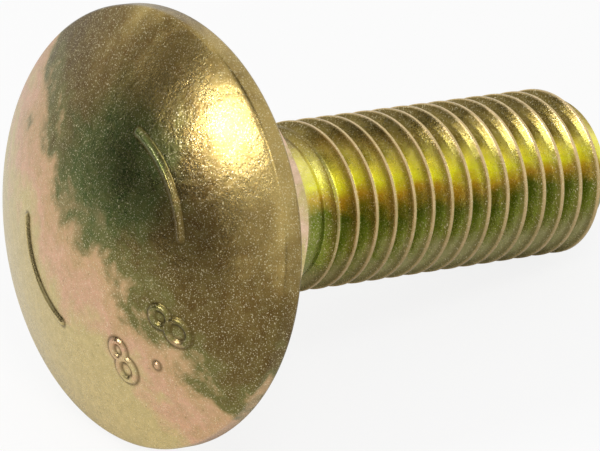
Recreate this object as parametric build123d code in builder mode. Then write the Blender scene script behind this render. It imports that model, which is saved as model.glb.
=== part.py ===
from build123d import *
import os
from math import acos, atan2, ceil, cos, hypot, radians, sin, tan

# A cup head square neck bolt, M12 x 40, forged and thread-rolled in one piece.
# It is drawn upright about its own axis, with the bearing face at Z = 0 and the tip upwards,
# and then laid on its side: the head's rim and the last thread crest touch the ground, the
# shank runs along +X and the origin is at the bottom centre of the bolt's box.

# Domed head, measured back from its bearing face
head_diameter = 30.5
head_height = 6.6
rim_height = 1.6
rim_round = 0.45

# Square neck, its corners cut back by a cone where it meets the shank
neck_width = 12.0
neck_length = 8.75
neck_corner_run = 2.4
neck_edge_round = 0.7
neck_turn = -28.0

# Shank, and its rolled thread: a 60 degree profile with a flat crest and root
bolt_length = 37.5
plain_shank_length = 1.7
thread_diameter = 11.9
thread_pitch = 1.75
thread_angle = 60.0
thread_depth_per_pitch = 0.6134
crest_per_pitch = 0.125
blank_below_crest_per_pitch = 0.285
tip_chamfer = 1.4
groove_overlap = 0.3
groove_lead_in = 1.3

# Radii, the thread's start, and the groove's depth and half widths at the crest and the root
head_radius = head_diameter / 2
thread_radius = thread_diameter / 2
blank_radius = thread_radius - blank_below_crest_per_pitch * thread_pitch
thread_start = neck_length + plain_shank_length
flank_slope = tan(radians(thread_angle / 2))
groove_depth = thread_depth_per_pitch * thread_pitch
groove_half_width = thread_pitch * (1 - crest_per_pitch) / 2
root_half_width = groove_half_width - groove_depth * flank_slope
mouth_half_width = groove_half_width + groove_overlap * flank_slope

# The groove is cut turn by turn, from a little below the thread to a little past the tip
groove_start = thread_start - groove_lead_in * thread_pitch
groove_turns = ceil((bolt_length - groove_start) / thread_pitch + groove_lead_in)

with BuildPart() as groove:
    with BuildLine() as groove_path:
        for turn in range(groove_turns):
            Helix(
                pitch=thread_pitch,
                height=thread_pitch,
                radius=thread_radius,
                center=(0, 0, groove_start + turn * thread_pitch),
            )
    groove_end = (thread_radius, 0, groove_start)
    with BuildSketch(Plane(origin=groove_end, x_dir=(1, 0, 0), z_dir=(0, -1, 0))):
        with BuildLine():
            Polyline(
                (groove_overlap, mouth_half_width),
                (-groove_depth, root_half_width),
                (-groove_depth, -root_half_width),
                (groove_overlap, -mouth_half_width),
                close=True,
            )
        make_face()
    sweep(path=groove_path.wire(), is_frenet=True)

with BuildPart() as thread:
    # The blank at its crest diameter, with a 45 degree point and its seam clear of the groove's ends
    with BuildSketch(Plane(origin=(0, 0, thread_start), x_dir=(-1, -1, 0), z_dir=(0, 0, 1))):
        Circle(thread_radius)
    extrude(amount=bolt_length - thread_start)
    chamfer(thread.faces().sort_by(Axis.Z)[-1].edges(), length=tip_chamfer)
    add(groove.part, mode=Mode.SUBTRACT)

with BuildPart() as bolt:
    # Square neck
    with BuildSketch():
        RectangleRounded(neck_width, neck_width, neck_edge_round, rotation=neck_turn)
    extrude(amount=neck_length)
    # Its corners run out in a cone down to the shank
    with BuildSketch(Plane.XZ):
        with BuildLine():
            Polyline(
                (0, 0),
                (neck_width / 2**0.5, 0),
                (neck_width / 2**0.5, neck_length - neck_corner_run),
                (blank_radius, neck_length),
                (0, neck_length),
                close=True,
            )
        make_face()
    revolve(axis=Axis.Z, mode=Mode.INTERSECT)
    # Plain shank up to the thread
    with BuildSketch():
        Circle(blank_radius)
    extrude(amount=thread_start)
    # Domed head with a rounded rim: a spherical cap on a short straight edge
    dome_rise = head_height - rim_height
    dome_radius = (head_radius**2 + dome_rise**2) / (2 * dome_rise)
    with BuildSketch(Plane.XZ) as head_half:
        with BuildLine():
            Polyline((0, -head_height), (0, 0), (head_radius, 0), (head_radius, -rim_height))
            RadiusArc((head_radius, -rim_height), (0, -head_height), dome_radius)
        make_face()
        fillet(head_half.vertices().sort_by(Axis.X)[-2:], rim_round)
    revolve(axis=Axis.Z)
    add(thread.part)

# The point of each crest that reaches furthest towards the ground: its far edge, or where the
# chamfer starts. The ground is on the -X side, which the crests pass every whole turn of the groove.
chamfer_start = bolt_length - tip_chamfer
crest_half_width = crest_per_pitch * thread_pitch / 2
crest_points = []
for turn in range(groove_turns):
    crest = groove_start + turn * thread_pitch
    along = min(max(chamfer_start, crest - crest_half_width), crest + crest_half_width)
    crest_points.append((along, thread_radius - max(along - chamfer_start, 0)))


def resting_tilt(along, across):
    """The tilt at which the rounded rim and a point on the thread both touch the ground."""
    reach_across = head_radius - rim_round - across
    reach_along = along + rim_round
    return acos(-rim_round / hypot(reach_across, reach_along)) - atan2(reach_along, reach_across)


# The crest that meets the ground first, as the shank comes down, sets how the bolt lies
tilt, touching_along, touching_across = min(
    (resting_tilt(along, across), along, across) for along, across in crest_points
)

# The bearing face's centre, with the whole bolt centred over the origin
seat_height = touching_along * sin(tilt) + touching_across * cos(tilt)
reach_back = dome_radius - (dome_radius - head_height) * cos(tilt)
reach_front = bolt_length * cos(tilt) + (thread_radius - tip_chamfer) * sin(tilt)
seat = Plane(
    origin=((reach_back - reach_front) / 2, 0, seat_height),
    x_dir=(sin(tilt), 0, cos(tilt)),
    z_dir=(cos(tilt), 0, -sin(tilt)),
)

with BuildPart(seat) as lying_bolt:
    add(bolt.part)

lying_bolt.part.label = "bolt"
os.makedirs("parts", exist_ok=True)
export_step(lying_bolt.part, "parts/bolt.step")
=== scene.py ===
import bpy
from math import acos, atan2, ceil, cos, degrees, hypot, pi, radians, sin, tan
from mathutils import Matrix, Vector


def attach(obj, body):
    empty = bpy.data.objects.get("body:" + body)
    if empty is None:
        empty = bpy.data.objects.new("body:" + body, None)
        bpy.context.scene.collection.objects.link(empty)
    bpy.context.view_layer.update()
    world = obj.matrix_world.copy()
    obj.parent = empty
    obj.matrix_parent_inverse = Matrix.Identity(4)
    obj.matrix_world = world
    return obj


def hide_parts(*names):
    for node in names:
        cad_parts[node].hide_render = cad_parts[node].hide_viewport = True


# A yellow passivated cup head square neck bolt, lying on its rim and its last thread crest.

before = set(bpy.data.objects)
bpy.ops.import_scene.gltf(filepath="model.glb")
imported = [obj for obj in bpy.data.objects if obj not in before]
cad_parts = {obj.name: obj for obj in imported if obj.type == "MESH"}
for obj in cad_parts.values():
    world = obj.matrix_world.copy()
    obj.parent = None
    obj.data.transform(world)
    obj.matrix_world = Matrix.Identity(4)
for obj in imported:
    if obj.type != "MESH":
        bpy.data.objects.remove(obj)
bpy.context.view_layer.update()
mm = 0.001

# The bolt's sizes, as its solid has them
head_radius = 15.25 * mm
head_height = 6.6 * mm
rim_height = 1.6 * mm
rim_round = 0.45 * mm
neck_width = 12.0 * mm
neck_length = 8.75 * mm
neck_corner_run = 2.4 * mm
neck_edge_round = 0.7 * mm
neck_turn = radians(-28)
bolt_length = 37.5 * mm
thread_radius = 5.95 * mm
pitch = 1.75 * mm
blank_radius = thread_radius - 0.285 * pitch
thread_start = neck_length + 1.7 * mm
groove_depth = 0.6134 * pitch
groove_lead_in = 1.3 * pitch
crest_width = 0.125 * pitch
tip_chamfer = 1.4 * mm
dome_rise = head_height - rim_height
dome_radius = (head_radius**2 + dome_rise**2) / (2 * dome_rise)
dome_centre = dome_radius - head_height
# The raised marks stand up to that cap, so the bare dome is lower by their height
mark_height = 0.2 * mm
bare_rise = dome_rise - mark_height
bare_radius = (head_radius**2 + bare_rise**2) / (2 * bare_rise)
bare_centre = bare_radius - head_height + mark_height

# Where it lies: the rim's rounding and the crest that meets the ground first
groove_start = thread_start - groove_lead_in
chamfer_start = bolt_length - tip_chamfer


def resting_tilt(along, across):
    """The tilt at which the rim and a point on the thread both touch the ground."""
    reach_across = head_radius - rim_round - across
    reach_along = along + rim_round
    return acos(-rim_round / hypot(reach_across, reach_along)) - atan2(reach_along, reach_across)


touches = []
for turn in range(ceil(bolt_length / pitch)):
    crest = groove_start + turn * pitch
    along = min(max(chamfer_start, crest - crest_width / 2), crest + crest_width / 2)
    across = thread_radius - max(along - chamfer_start, 0)
    touches.append((resting_tilt(along, across), along, across))
tilt, touching_along, touching_across = min(touches)
seat_height = touching_along * sin(tilt) + touching_across * cos(tilt)
reach_back = dome_radius - dome_centre * cos(tilt)
reach_front = bolt_length * cos(tilt) + (thread_radius - tip_chamfer) * sin(tilt)
seat = Vector(((reach_back - reach_front) / 2, 0, seat_height))


# Meshes


def deselect_all():
    bpy.ops.object.select_all(action="DESELECT")


def edit(body):
    deselect_all()
    body.select_set(True)
    bpy.context.view_layer.objects.active = body
    bpy.ops.object.mode_set(mode="EDIT")
    bpy.ops.mesh.select_all(action="SELECT")


def leave_edit():
    bpy.ops.object.mode_set(mode="OBJECT")


def outline_chain(name, outline):
    """A chain of edges through (radius, height) points, drawn from a single vertex."""
    deselect_all()
    bpy.ops.mesh.primitive_plane_add(size=mm, location=(0, 0, 0))
    body = bpy.context.object
    body.name = body.data.name = name
    edit(body)
    bpy.ops.mesh.merge(type="CENTER")
    bpy.ops.transform.translate(value=(outline[0][0], 0, outline[0][1]))
    for (radius, height), (next_radius, next_height) in zip(outline, outline[1:]):
        step = (next_radius - radius, 0, next_height - height)
        bpy.ops.mesh.extrude_region_move(TRANSFORM_OT_translate={"value": step})
    leave_edit()
    return body


def close_up(body):
    """Merges what meets and turns every face outwards."""
    edit(body)
    bpy.ops.mesh.remove_doubles(threshold=0.002 * mm)
    bpy.ops.mesh.normals_make_consistent(inside=False)
    leave_edit()


def turned(name, outline, steps):
    """A body turned round the Z axis from an outline that starts and ends on it."""
    body = outline_chain(name, outline)
    edit(body)
    bpy.ops.mesh.spin(steps=steps, angle=2 * pi, center=(0, 0, 0), axis=(0, 0, 1))
    leave_edit()
    close_up(body)
    return body


def combine(body, other, operation):
    """Cuts or joins another body into this one and drops the other."""
    deselect_all()
    bpy.context.view_layer.objects.active = body
    boolean = body.modifiers.new(operation.lower(), "BOOLEAN")
    boolean.object = other
    boolean.operation = operation
    boolean.solver = "EXACT"
    bpy.ops.object.modifier_apply(modifier=boolean.name)
    bpy.data.objects.remove(other)


def arc(centre, radius, start, end, count):
    """Points on an arc in the (radius, height) plane, angles in degrees."""
    turns = [radians(start + (end - start) * i / (count - 1)) for i in range(count)]
    return [(centre[0] + radius * cos(a), centre[1] + radius * sin(a)) for a in turns]


def head_body():
    """The domed head: bearing face, rounded rim and spherical cap."""
    round_centre = head_radius - rim_round
    # The cap meets the rim through a rounding tangent to both
    inner = bare_radius - rim_round
    lean = acos(round_centre / inner)
    round_height = bare_centre - inner * sin(lean)
    outline = [(0, 0), (round_centre * 0.6, 0)]
    outline += arc((round_centre, -rim_round), rim_round, 90, 0, 7)
    outline += arc((round_centre, round_height), rim_round, 0, -degrees(lean), 7)
    cap_points = 44
    cap_edge = pi / 2 - lean
    for i in range(1, cap_points):
        a = cap_edge * (1 - i / cap_points)
        outline.append((bare_radius * sin(a), bare_centre - bare_radius * cos(a)))
    outline.append((0, mark_height - head_height))
    return turned("head", outline, 224)


def neck_body():
    """The square neck, its edges rounded and its corners run out in a cone."""
    deselect_all()
    overlap = 0.4 * mm
    bpy.ops.mesh.primitive_cube_add(size=1, location=(0, 0, 0))
    neck = bpy.context.object
    neck.name = neck.data.name = "neck"
    edit(neck)
    bpy.ops.transform.resize(value=(neck_width, neck_width, neck_length + 2 * overlap))
    bpy.ops.transform.translate(value=(0, 0, neck_length / 2))
    # Its end edges are rounded with the others: one end is in the head, the cone cuts off the other
    bpy.ops.mesh.bevel(offset=neck_edge_round, segments=5, affect="EDGES")
    leave_edit()
    neck.data.transform(Matrix.Rotation(neck_turn, 4, "Z"))
    corner = neck_width / 2**0.5
    slope = (corner - blank_radius) / neck_corner_run
    clear = 0.2 * mm
    run_past = 0.3 * mm
    cone = turned(
        "corner_cone",
        [
            (0, -clear),
            (corner + clear, -clear),
            (corner + clear, neck_length - neck_corner_run - clear / slope),
            (blank_radius - run_past * slope, neck_length + run_past),
            (0, neck_length + run_past),
        ],
        160,
    )
    combine(neck, cone, "INTERSECT")
    return neck


def tooth_outline():
    """One pitch of the thread, from the middle of a rounded root to the middle of the next."""
    slope = tan(radians(30))
    root_radius = thread_radius - groove_depth
    crest_half = crest_width / 2
    crest_round = 0.05 * mm
    root_round = 0.24 * mm
    flank_top = pitch / 2 - crest_half - crest_round * slope
    points = [(root_radius, 0)]
    # The root's arc runs into the straight flank at 30 degrees from the axis's normal
    for a in (15, 30, 45, 60):
        a = radians(a)
        points.append((root_radius + root_round * (1 - cos(a)), root_round * sin(a)))
    points.append((thread_radius - crest_round - 0.02 * mm, flank_top - 0.012 * mm))
    points.append((thread_radius - crest_round * 0.4, flank_top + 0.018 * mm))
    points.append((thread_radius, pitch / 2 - crest_half))
    back = [(radius, pitch - height) for radius, height in reversed(points)]
    return points + [(thread_radius, pitch / 2)] + back


def shank_body():
    """The shank with its rolled thread, run out under the neck and pointed at the tip."""
    first_turn = ceil((groove_start + 2 * mm) / pitch) + 1
    base = groove_start - first_turn * pitch
    outline = [(radius, height + base) for radius, height in tooth_outline()]
    shank = outline_chain("shank", outline)
    screw = shank.modifiers.new("screw", "SCREW")
    screw.axis = "Z"
    screw.angle = 2 * pi
    screw.screw_offset = pitch
    screw.iterations = ceil((bolt_length - base) / pitch) + 1
    screw.steps = screw.render_steps = 96
    screw.use_merge_vertices = True
    screw.merge_threshold = 0.002 * mm
    screw.use_smooth_shade = False
    deselect_all()
    bpy.context.view_layer.objects.active = shank
    bpy.ops.object.modifier_apply(modifier=screw.name)
    edit(shank)
    bpy.ops.mesh.remove_doubles(threshold=0.002 * mm)
    bpy.ops.mesh.bisect(
        plane_co=(0, 0, -1 * mm), plane_no=(0, 0, 1), use_fill=True, clear_inner=True
    )
    bpy.ops.mesh.select_all(action="SELECT")
    bpy.ops.mesh.bisect(
        plane_co=(0, 0, bolt_length), plane_no=(0, 0, 1), use_fill=True, clear_outer=True
    )
    leave_edit()
    run_out = 1.2 * pitch
    for vertex in shank.data.vertices:
        radius = hypot(vertex.co.x, vertex.co.y)
        if radius < blank_radius / 2:
            continue
        share = min(max((vertex.co.z - thread_start + 0.5 * pitch) / run_out, 0), 1)
        share = share * share * (3 - 2 * share)
        new_radius = blank_radius + (radius - blank_radius) * share
        new_radius = min(new_radius, thread_radius - tip_chamfer + bolt_length - vertex.co.z)
        vertex.co.x *= new_radius / radius
        vertex.co.y *= new_radius / radius
    close_up(shank)
    return shank


# Raised marks on the dome, in millimetres from the axis and degrees round it
def digit_eight(radius, turn, height, width):
    """Two stacked loops, upright along the radius, as centre lines."""
    lines = []
    small, large = 0.45 * height, 0.55 * height
    for size, middle in ((small, -height / 2 + small / 2), (large, height / 2 - large / 2)):
        loop = []
        for i in range(25):
            a = 2 * pi * i / 24
            across = width / 2 * (size / large) * sin(a)
            out = radius + middle + size / 2 * cos(a)
            x = out * cos(turn) - across * sin(turn)
            loop.append((x, out * sin(turn) + across * cos(turn)))
        lines.append(loop)
    return lines


def mark_lines():
    """Centre lines of the two arcs and of the grade figures, seen along the axis."""
    lines = []
    for radius, start, end in ((7.8, 14, 75), (8.4, -169, -111)):
        turns = [radians(a) for a in range(start, end)]
        lines.append([(radius * cos(a), radius * sin(a)) for a in turns])
    lines += digit_eight(8.75, radians(-31), 2.8, 1.45)
    lines += digit_eight(8.85, radians(-69.5), 3.1, 1.6)
    dot = (9.9 * cos(radians(-49)), 9.9 * sin(radians(-49)))
    lines.append([dot, (dot[0] + 0.05, dot[1])])
    return [[(-x * mm, -y * mm) for x, y in line] for line in lines]


def distance_to(lines, x, y):
    """The distance from a point to the nearest line."""
    best = 1.0
    for line in lines:
        for (x0, y0), (x1, y1) in zip(line, line[1:]):
            dx, dy = x1 - x0, y1 - y0
            share = ((x - x0) * dx + (y - y0) * dy) / (dx * dx + dy * dy)
            share = min(max(share, 0), 1)
            best = min(best, hypot(x - x0 - share * dx, y - y0 - share * dy))
    return best


def raise_marks(bolt):
    """Divides the dome finely along the marks and raises them as rounded ridges."""
    lines = mark_lines()
    ridge_half_width = 0.32 * mm
    foot_width = 0.2 * mm
    dome_edge = -rim_height - 0.3 * mm
    for reach, cuts in ((0.75 * mm, 1), (0.5 * mm, 2)):
        mesh = bolt.data
        near = {
            vertex.index
            for vertex in mesh.vertices
            if vertex.co.z < dome_edge
            and distance_to(lines, vertex.co.x, vertex.co.y) < reach
        }
        edit(bolt)
        bpy.ops.mesh.select_all(action="DESELECT")
        bpy.ops.mesh.select_mode(type="FACE")
        leave_edit()
        for face in mesh.polygons:
            face.select = any(v in near for v in face.vertices)
        bpy.ops.object.mode_set(mode="EDIT")
        bpy.ops.mesh.subdivide(number_cuts=cuts, smoothness=0)
        bpy.ops.mesh.select_mode(type="VERT")
        leave_edit()
    centre = Vector((0, 0, bare_centre))
    # A ring round the base of each ridge is weighted for a painted shade in the material
    mark_foot_shade = bolt.data.attributes.new("mark_foot", "FLOAT", "POINT")
    for vertex in bolt.data.vertices:
        if vertex.co.z > dome_edge:
            continue
        away = distance_to(lines, vertex.co.x, vertex.co.y)
        normal = (vertex.co - centre).normalized()
        on_dome = (vertex.co - centre).length > bare_radius - 0.05 * mm
        if on_dome:
            beside = abs(away - ridge_half_width) / foot_width
            mark_foot_shade.data[vertex.index].value = max(1 - beside, 0)
        if away < ridge_half_width and on_dome:
            lift = mark_height * cos(away / ridge_half_width * pi / 2) ** 1.2
            vertex.co = centre + normal * (bare_radius + lift)


def bolt_mesh():
    """The whole bolt as one mesh, laid where the solid lies."""
    bolt = head_body()
    combine(bolt, neck_body(), "UNION")
    combine(bolt, shank_body(), "UNION")
    raise_marks(bolt)
    close_up(bolt)
    lay_down = Matrix.Rotation(pi / 2 + tilt, 4, "Y") @ Matrix.Rotation(pi, 4, "Z")
    bolt.data.transform(Matrix.Translation(seat) @ lay_down)
    bolt.name = bolt.data.name = "plated_bolt"
    edit(bolt)
    leave_edit()
    bpy.ops.object.shade_smooth_by_angle(angle=radians(28))
    return bolt


# Finish


class Wire:
    """An output in a material, so that sums on it are written as plain expressions."""

    def __init__(self, finish, socket):
        self.finish = finish
        self.socket = socket

    def root(self):
        return self.math("SQRT", self)

    def math(self, operation, *values):
        sockets = dict(enumerate(values))
        return self.finish.node("ShaderNodeMath", {"operation": operation}, sockets)

    def __add__(self, other):
        return self.math("ADD", self, other)

    def __radd__(self, other):
        return self.math("ADD", other, self)

    def __sub__(self, other):
        return self.math("SUBTRACT", self, other)

    def __rsub__(self, other):
        return self.math("SUBTRACT", other, self)

    def __mul__(self, other):
        return self.math("MULTIPLY", self, other)

    def __rmul__(self, other):
        return self.math("MULTIPLY", other, self)

    def __truediv__(self, other):
        return self.math("DIVIDE", self, other)

    def __rtruediv__(self, other):
        return self.math("DIVIDE", other, self)


class Finish:
    """A node tree of a material or of the world, built node by node."""

    def __init__(self, owner):
        self.owner = owner
        owner.use_nodes = True
        self.tree = owner.node_tree
        self.tree.nodes.clear()

    def node(self, kind, settings, sockets, output=0):
        node = self.tree.nodes.new(kind)
        for name, value in settings.items():
            if name == "stops":
                stops = node.color_ramp.elements
                stops[0].position, stops[1].position = value[0][0], value[-1][0]
                for place, colour in value[1:-1]:
                    stops.new(place)
                for stop, (place, colour) in zip(stops, value):
                    stop.color = (*colour, 1)
            else:
                setattr(node, name, value)
        for name, value in sockets.items():
            if isinstance(value, Wire):
                self.tree.links.new(value.socket, node.inputs[name])
            else:
                node.inputs[name].default_value = value
        return Wire(self, node.outputs[output]) if len(node.outputs) else None

    def noise(self, place, scale, detail=2.0, roughness=0.5, distortion=0.0):
        sockets = {"Vector": place, "Scale": scale, "Detail": detail}
        sockets.update({"Roughness": roughness, "Distortion": distortion})
        return self.node("ShaderNodeTexNoise", {}, sockets)

    def smooth(self, value, low, high):
        """0 up to low, 1 from high, eased between."""
        sockets = {"Value": value, "From Min": low, "From Max": high}
        return self.node("ShaderNodeMapRange", {"interpolation_type": "SMOOTHSTEP"}, sockets)

    def ramp(self, value, stops):
        return self.node("ShaderNodeValToRGB", {"stops": stops}, {0: value})

    def blend(self, factor, first, second):
        first = first if isinstance(first, Wire) else (*first, 1)
        second = second if isinstance(second, Wire) else (*second, 1)
        settings = {"data_type": "RGBA"}
        return self.node("ShaderNodeMix", settings, {0: factor, 6: first, 7: second}, 2)

    def dot(self, place, direction):
        settings = {"operation": "DOT_PRODUCT"}
        return self.node("ShaderNodeVectorMath", settings, {0: place, 1: direction}, 1)


def yellow_zinc():
    """Yellow passivated zinc plate: gold, pink, green and olive casts over fine grain, with painted
    reflections, highlights, shade and glints laid into its colour.
    """
    zinc = Finish(bpy.data.materials.new("yellow_zinc_plate"))
    place = zinc.node("ShaderNodeTexCoord", {}, {}, 3)
    from_seat = zinc.node(
        "ShaderNodeVectorMath", {"operation": "SUBTRACT"}, {0: place, 1: tuple(seat)}
    )
    # In millimetres: along the axis from the bearing face, across it to the left and down
    along = zinc.dot(from_seat, (1000 * cos(tilt), 0, -1000 * sin(tilt)))
    left = zinc.dot(from_seat, (0, 1000, 0))
    down = zinc.dot(from_seat, (-1000 * sin(tilt), 0, -1000 * cos(tilt)))
    radius = (left * left + down * down).root()

    clouds = zinc.noise(place, 130, 3, 0.6, 0.6)
    patches = zinc.noise(place, 420, 4, 0.62, 0.4)
    mottle = zinc.noise(place, 1500, 3, 0.6)
    grain = zinc.noise(place, 5200, 3, 0.65)
    sparkle = zinc.noise(place, 9500, 2, 0.6)

    # On the dome the colour runs from pink low on the left through green to olive brown on the
    # right: partly the plating's own tint, partly painted reflection, bright where the floor would
    # mirror and dark where the dark studio would
    sweep = left * 0.028 + down * 0.050 + (clouds - 0.5) * 0.9 + (patches - 0.5) * 0.5
    dome_tint_and_painted_reflection = zinc.ramp(
        sweep * 0.8 + 0.72,
        [
            (0.05, (0.42, 0.30, 0.10)),
            (0.26, (0.17, 0.105, 0.03)),
            (0.44, (0.11, 0.065, 0.018)),
            (0.56, (0.13, 0.085, 0.025)),
            (0.65, (0.17, 0.16, 0.05)),
            (0.74, (0.66, 0.42, 0.22)),
            (0.86, (0.78, 0.46, 0.30)),
            (1.00, (0.70, 0.56, 0.26)),
        ],
    )
    # A dark green patch high in the middle, partly the plating's tint and partly painted reflection
    # of the dark studio
    across = left + 0.5 + (patches - 0.5) * 6
    above = down + 5.5 + (clouds - 0.5) * 7
    spread = (across * across + above * above).root()
    green_share = zinc.smooth(spread, 3.2, 7.0)
    dome_tint_and_painted_reflection = zinc.blend(green_share * 0.85 + 0.15, (0.075, 0.125, 0.035), dome_tint_and_painted_reflection)
    # The shank is yellower: pale crests over roots whose colour turns round the shank as painted
    # light, painted shade brown on top, a painted highlight bright yellow at mid height, painted
    # shade dark green lower down and pale olive at the bottom
    shank_light_sweep = down * 0.066 - left * 0.053 + (clouds - 0.5) * 0.35 + (patches - 0.5) * 0.25
    root_tint_and_painted_light = zinc.ramp(
        shank_light_sweep + 0.5,
        [
            (0.06, (0.17, 0.12, 0.03)),
            (0.24, (0.40, 0.30, 0.07)),
            (0.38, (0.95, 0.86, 0.20)),
            (0.50, (0.88, 0.86, 0.08)),
            (0.58, (0.60, 0.40, 0.05)),
            (0.68, (0.15, 0.20, 0.015)),
            (0.82, (0.26, 0.32, 0.04)),
            (0.94, (0.50, 0.48, 0.22)),
        ],
    )
    crest_cast = zinc.blend(patches, (0.52, 0.40, 0.16), (0.80, 0.58, 0.32))
    # A painted shade darkens the flanks just under the crests
    flank_painted_shade = zinc.smooth(radius, 5.45, 5.75) * 0.55
    shank_tint_and_painted_light = zinc.blend(flank_painted_shade, root_tint_and_painted_light, (0.13, 0.085, 0.02))
    crest_share = zinc.smooth(radius, 5.83, 5.93)
    shank_tint_and_painted_light = zinc.blend(crest_share, shank_tint_and_painted_light, crest_cast)
    neck_patches = zinc.smooth(patches, 0.4, 0.62)
    neck_cast = zinc.blend(neck_patches, (0.62, 0.50, 0.22), (0.84, 0.58, 0.42))
    behind_head = zinc.smooth(along, -0.3, 0.2)
    on_shank = zinc.smooth(along, 8.3, 9.2)
    # The colour carries the plating's tint together with the painted reflections, highlights and
    # shade
    colour_with_painted_light = zinc.blend(behind_head, dome_tint_and_painted_reflection, neck_cast)
    colour_with_painted_light = zinc.blend(on_shank, colour_with_painted_light, shank_tint_and_painted_light)
    # Mottling, fine dark specks, and bright points on the grain that are painted glints
    colour_with_painted_light = zinc.blend((mottle - 0.3) * 0.8, colour_with_painted_light, (0.30, 0.25, 0.09))
    specks = zinc.smooth(grain, 0.62, 0.74) * 0.55
    colour_with_painted_light = zinc.blend(specks, colour_with_painted_light, (0.10, 0.09, 0.035))
    points = zinc.smooth(sparkle, 0.58, 0.68) * 0.6
    colour_with_painted_light = zinc.blend(points, colour_with_painted_light, (0.95, 0.84, 0.55))

    # A painted shade darkens a narrow ring round the base of each raised mark
    mark_foot_shade = zinc.node("ShaderNodeAttribute", {"attribute_name": "mark_foot"}, {}, 2)
    colour_with_painted_light = zinc.blend(mark_foot_shade * 0.8, colour_with_painted_light, (0.10, 0.07, 0.02))

    rough = 0.15 + patches * 0.16 + grain * 0.10
    hammered = zinc.noise(place, 900, 3, 0.55)
    height = hammered * 0.5 + grain * 0.22 + sparkle * 0.10
    bumped = zinc.node(
        "ShaderNodeBump", {}, {"Strength": 0.8, "Distance": 0.00009, "Height": height}
    )
    shader = zinc.node(
        "ShaderNodeBsdfPrincipled",
        {},
        {"Base Color": colour_with_painted_light, "Metallic": 1.0, "Roughness": rough, "Normal": bumped},
    )
    zinc.node("ShaderNodeOutputMaterial", {}, {"Surface": shader})
    return zinc.owner


# The bolt

plated_bolt = bolt_mesh()
plated_bolt.data.materials.clear()
plated_bolt.data.materials.append(yellow_zinc())
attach(plated_bolt, "root")
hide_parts("bolt")

# Studio


def studio_world():
    """White wherever it is seen or mirrored, and plain soft light elsewhere."""
    sky = Finish(bpy.data.worlds.new("studio"))
    rays = [sky.node("ShaderNodeLightPath", {}, {}, output) for output in (0, 3, 6)]
    seen = (rays[0] + rays[1]) + rays[2]
    seen = seen.math("MINIMUM", seen, 1.0)
    strength = seen * 0.35 + 0.65
    light = sky.node("ShaderNodeBackground", {}, {"Color": (1, 1, 1, 1), "Strength": strength})
    sky.node("ShaderNodeOutputWorld", {}, {"Surface": light})
    bpy.context.scene.world = sky.owner


def floor_finish():
    """A white floor that keeps a light shadow."""
    board = Finish(bpy.data.materials.new("white_floor"))
    camera_ray = board.node("ShaderNodeLightPath", {}, {}, 0)
    matt = board.node("ShaderNodeBsdfDiffuse", {}, {"Color": (0.82, 0.82, 0.82, 1)})
    white = board.node("ShaderNodeEmission", {}, {"Color": (1, 1, 1, 1), "Strength": 1.0})
    mixed = board.node("ShaderNodeMixShader", {}, {0: camera_ray * 0.85, 1: matt, 2: white})
    board.node("ShaderNodeOutputMaterial", {}, {"Surface": mixed})
    return board.owner


def board_finish(name, colour):
    """A matt studio board."""
    board = Finish(bpy.data.materials.new(name))
    matt = board.node("ShaderNodeBsdfDiffuse", {}, {"Color": (*colour, 1)})
    board.node("ShaderNodeOutputMaterial", {}, {"Surface": matt})
    return board.owner


def toward(azimuth, elevation):
    """A direction, its azimuth in degrees from -Y towards +X."""
    azimuth, elevation = radians(azimuth), radians(elevation)
    return Vector(
        (sin(azimuth) * cos(elevation), -cos(azimuth) * cos(elevation), sin(elevation))
    )


def stage_plane(name, size, location, direction, finish):
    """A flat board in the studio that faces along a direction."""
    deselect_all()
    bpy.ops.mesh.primitive_plane_add(size=1, location=(0, 0, 0))
    board = bpy.context.object
    board.name = board.data.name = name
    turn = Vector(direction).to_track_quat("Z", "Y").to_matrix().to_4x4()
    board.data.transform(Matrix.Translation(location) @ turn @ Matrix.Diagonal((*size, 1, 1)))
    board.data.materials.append(finish)
    return board


def hidden_board(name, size, azimuth, elevation, distance, finish):
    """A dark board that only shows where the metal mirrors it."""
    away = toward(azimuth, elevation)
    board = stage_plane(name, size, dome_place + away * distance, -away, finish)
    board.visible_camera = False
    board.visible_shadow = False
    board.visible_diffuse = False
    return board


def softbox(name, size, azimuth, elevation, distance, power):
    """A square lamp that faces the bolt."""
    away = toward(azimuth, elevation)
    lamp = bpy.data.lights.new(name, "AREA")
    lamp.shape = "RECTANGLE"
    lamp.size, lamp.size_y = size
    lamp.energy = power
    box = bpy.data.objects.new(name, lamp)
    bpy.context.collection.objects.link(box)
    box.location = dome_place + away * distance
    box.rotation_euler = (-away).to_track_quat("-Z", "Y").to_euler()
    return box


dome_place = Vector((-0.016, -0.002, 0.017))
studio_world()
stage_plane("floor", (6, 6), (0, 0, 0), (0, 0, 1), floor_finish())
dark = board_finish("dark_board", (0.012, 0.010, 0.006))
hidden_board("dark_board_left", (0.46, 0.42), -112, 24, 0.42, dark)
hidden_board("dark_board_above", (0.30, 0.22), 30, 80, 0.40, dark)
hidden_board("dark_board_low", (0.30, 0.06), -10, 8, 0.40, dark)
softbox("key_light", (0.09, 0.055), -100, 37, 0.32, 0.4)
softbox("fill_light", (0.16, 0.16), -20, 62, 0.60, 0.6)

# Camera
aim = Vector((-7.605, -6.008, 14.646)) * mm
azimuth = radians(38.54)
elevation = radians(31.86)
distance = 443.6 * mm
forward = Vector((sin(azimuth) * cos(elevation), cos(azimuth) * cos(elevation), -sin(elevation)))
camera_data = bpy.data.cameras.new("camera")
camera_data.lens = 390
camera_data.clip_start = 0.01
camera = bpy.data.objects.new("camera", camera_data)
bpy.context.collection.objects.link(camera)
camera.location = aim - forward * distance
camera.rotation_euler = forward.to_track_quat("-Z", "Y").to_euler()
bpy.context.scene.camera = camera
bpy.context.scene.view_settings.view_transform = "Standard"
